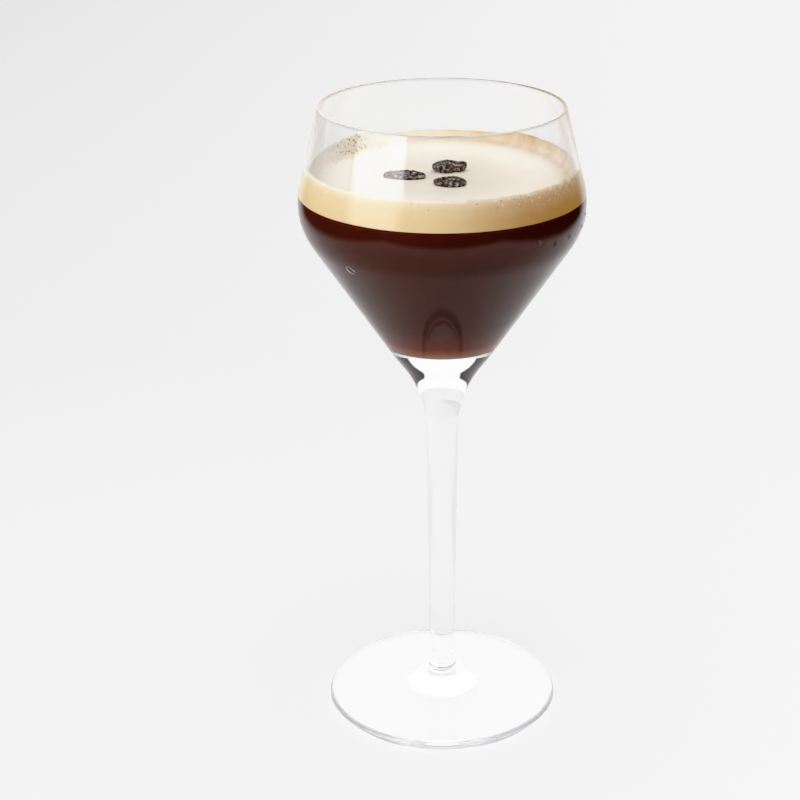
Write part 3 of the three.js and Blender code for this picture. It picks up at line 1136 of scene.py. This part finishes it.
def softbox(name, place, aim, width, height, brightness):
    """A rectangular lamp of an even brightness, out of the camera's sight."""
    lamp = bpy.data.lights.new(name, "AREA")
    lamp.shape = "RECTANGLE"
    lamp.size, lamp.size_y = width, height
    lamp.energy = brightness * math.pi * width * height
    piece = bpy.data.objects.new(name, lamp)
    piece.location = place
    piece.rotation_euler = (Vector(aim) - Vector(place)).to_track_quat("-Z", "Y").to_euler()
    piece.visible_camera = False
    bpy.context.scene.collection.objects.link(piece)
    return piece


# The mirrored softbox, in metres: half its width, and the heights of its lower and upper edges.
# Its card reaches further to each side, in half widths, where its low part fades out softly
WINDOW_HALF = 1.115
WINDOW_BOTTOM = -0.05
WINDOW_TOP = 1.32
WINDOW_REACH = 1.6


def window_glow(side, height):
    """How bright the mirrored softbox is, with the side in half widths from its middle."""
    low = 1 - smooth(0.52, 0.6, height + 0.115 * side)
    soft = 1 - smooth(0.55, 1.2, abs(side))
    crisp = 1 - smooth(0.98, 1.02, abs(side))
    bright = 1 + 0.9 * smooth(0.61, 0.65, height) * smooth(0.25, 0.6, -side)
    return (crisp + (soft - crisp) * low) * smooth(WINDOW_BOTTOM, 0.12, height) * bright


def mirror_window(azimuth, distance, brightness):
    """The softbox as the glass mirrors it: crisp sides above, soft ones low down."""
    across = Vector((-math.cos(azimuth), math.sin(azimuth), 0))
    centre = Vector((-distance * math.sin(azimuth), -distance * math.cos(azimuth), 0))
    rows, columns = 40, 80
    vertices, glow, faces = [], [], []
    for row in range(rows + 1):
        height = WINDOW_BOTTOM + (WINDOW_TOP - WINDOW_BOTTOM) * row / rows
        for column in range(columns + 1):
            side = WINDOW_REACH * (2 * column / columns - 1)
            vertices.append(tuple(centre + across * side * WINDOW_HALF + Vector((0, 0, height))))
            glow.append(window_glow(side, height))
    for row in range(rows):
        for column in range(columns):
            corner = row * (columns + 1) + column
            face = (corner, corner + 1, corner + columns + 2, corner + columns + 1)
            if max(glow[place] for place in face) > 0:
                faces.append(face)
    nodes = Material("window_glow")
    strength = nodes.calculate("MULTIPLY", nodes.attribute("glow"), brightness)
    nodes.set(Base_Color=(0, 0, 0), Emission_Color=(1, 0.99, 0.98), Emission_Strength=strength)
    nodes.set(Specular_IOR_Level=0)
    card = new_piece("window_mirror", vertices, faces, nodes.material)
    mark_points(card, "glow", glow)
    only_mirrored(card)
    card.visible_transmission = True


class DRINK_OT_stage(bpy.types.Operator):
    """Set out the pale floor, the soft lights and the camera"""

    bl_idname = "drink.stage"
    bl_label = "Stage"

    def execute(self, context):
        scene, studio = context.scene, context.scene.studio
        reach, gap = 6, 0.1 * MM
        corners = [(x * reach, y * reach, -gap) for x, y in ((-1, -1), (1, -1), (1, 1), (-1, 1))]
        floor = new_piece("floor", corners, [(0, 1, 2, 3)], floor_material(studio))
        dark_flag("dark_flag", mirrored_cover, nearest=0.037, farthest=9, height=1 * MM)
        side_flag = dark_flag("side_flag", passed_cover, nearest=0.045, farthest=9, height=1 * MM)
        side_flag.visible_glossy = False
        side_flag.visible_transmission = True
        dark_flag("foot_flag", foot_cover, nearest=0.014, farthest=0.05, height=10 * MM)

        scene.world = room_world(studio)
        azimuth, distance, height = 47 * DEGREE, 2.5, 0.67
        place = (-distance * math.sin(azimuth), -distance * math.cos(azimuth), height)
        lamp = softbox("window_softbox", place, (0, 0, height), 2.23, 1.3, studio.window_light)
        lamp.visible_glossy = False
        lamp.visible_transmission = False
        mirror_window(55.7 * DEGREE, distance, studio.mirrored_window)

        lens = bpy.data.cameras.new("camera")
        lens.lens = studio.lens
        lens.sensor_width = SENSOR_WIDTH
        lens.shift_x = (PICTURE_WIDTH / 2 - studio.axis_column) / PICTURE_WIDTH
        camera = bpy.data.objects.new("camera", lens)
        camera.location = (0, -studio.distance, studio.camera_height)
        camera.rotation_euler = (math.pi / 2 - studio.pitch, 0, 0)
        scene.collection.objects.link(camera)
        scene.camera = camera
        set_film_response(scene.view_settings)
        scene.cycles.max_bounces = 32
        scene.cycles.glossy_bounces = 24
        scene.cycles.transmission_bounces = 32
        return {"FINISHED"}


def set_film_response(view):
    """Deepens the darkest tones a little and rounds off the brightest, as a camera does."""
    view.view_transform = "Standard"
    view.use_curve_mapping = True
    white = 2
    view.curve_mapping.white_level = (white, white, white)
    # Linear light in the scene, and the light that the picture shows for it
    tones = (
        (0.02, 0.001), (0.037, 0.0085), (0.055, 0.021), (0.1, 0.075), (0.25, 0.24), (0.6, 0.605),
        (0.75, 0.745), (0.85, 0.835), (0.92, 0.888), (1, 0.922), (1.15, 0.95), (1.35, 0.968), (1.6, 0.984),
    )
    for light, tone in tones:
        view.curve_mapping.curves[3].points.new(light / white, tone)
    view.curve_mapping.update()


class DRINK_PT_panel(bpy.types.Panel):
    """The steps that make the drink"""

    bl_label = "Espresso martini"
    bl_idname = "DRINK_PT_panel"
    bl_space_type = "VIEW_3D"
    bl_region_type = "UI"
    bl_category = "Drink"

    def draw(self, context):
        for step in STEPS:
            self.layout.operator(step.bl_idname)
        for group in SETTINGS:
            box = self.layout.box()
            box.label(text=group.__doc__)
            values = getattr(context.scene, SETTINGS[group])
            for key in group.__annotations__:
                box.prop(values, key)


STEPS = (
    DRINK_OT_stage, DRINK_OT_glass, DRINK_OT_coffee, DRINK_OT_foam,
    DRINK_OT_bubbles, DRINK_OT_beans, DRINK_OT_droplets,
)
SETTINGS = {
    GlassSizes: "glass_sizes",
    DrinkSizes: "drink_sizes",
    BeanSizes: "bean_sizes",
    Finishes: "finishes",
    StudioSettings: "studio",
}


def register():
    for group, name in SETTINGS.items():
        bpy.utils.register_class(group)
        setattr(bpy.types.Scene, name, PointerProperty(type=group))
    for step in STEPS:
        bpy.utils.register_class(step)
    bpy.utils.register_class(DRINK_PT_panel)


def unregister():
    bpy.utils.unregister_class(DRINK_PT_panel)
    for step in reversed(STEPS):
        bpy.utils.unregister_class(step)
    for group, name in SETTINGS.items():
        delattr(bpy.types.Scene, name)
        bpy.utils.unregister_class(group)


def main():
    register()
    for step in STEPS:
        kind, name = step.bl_idname.split(".")
        getattr(getattr(bpy.ops, kind), name)()


if __name__ == "__main__":
    main()
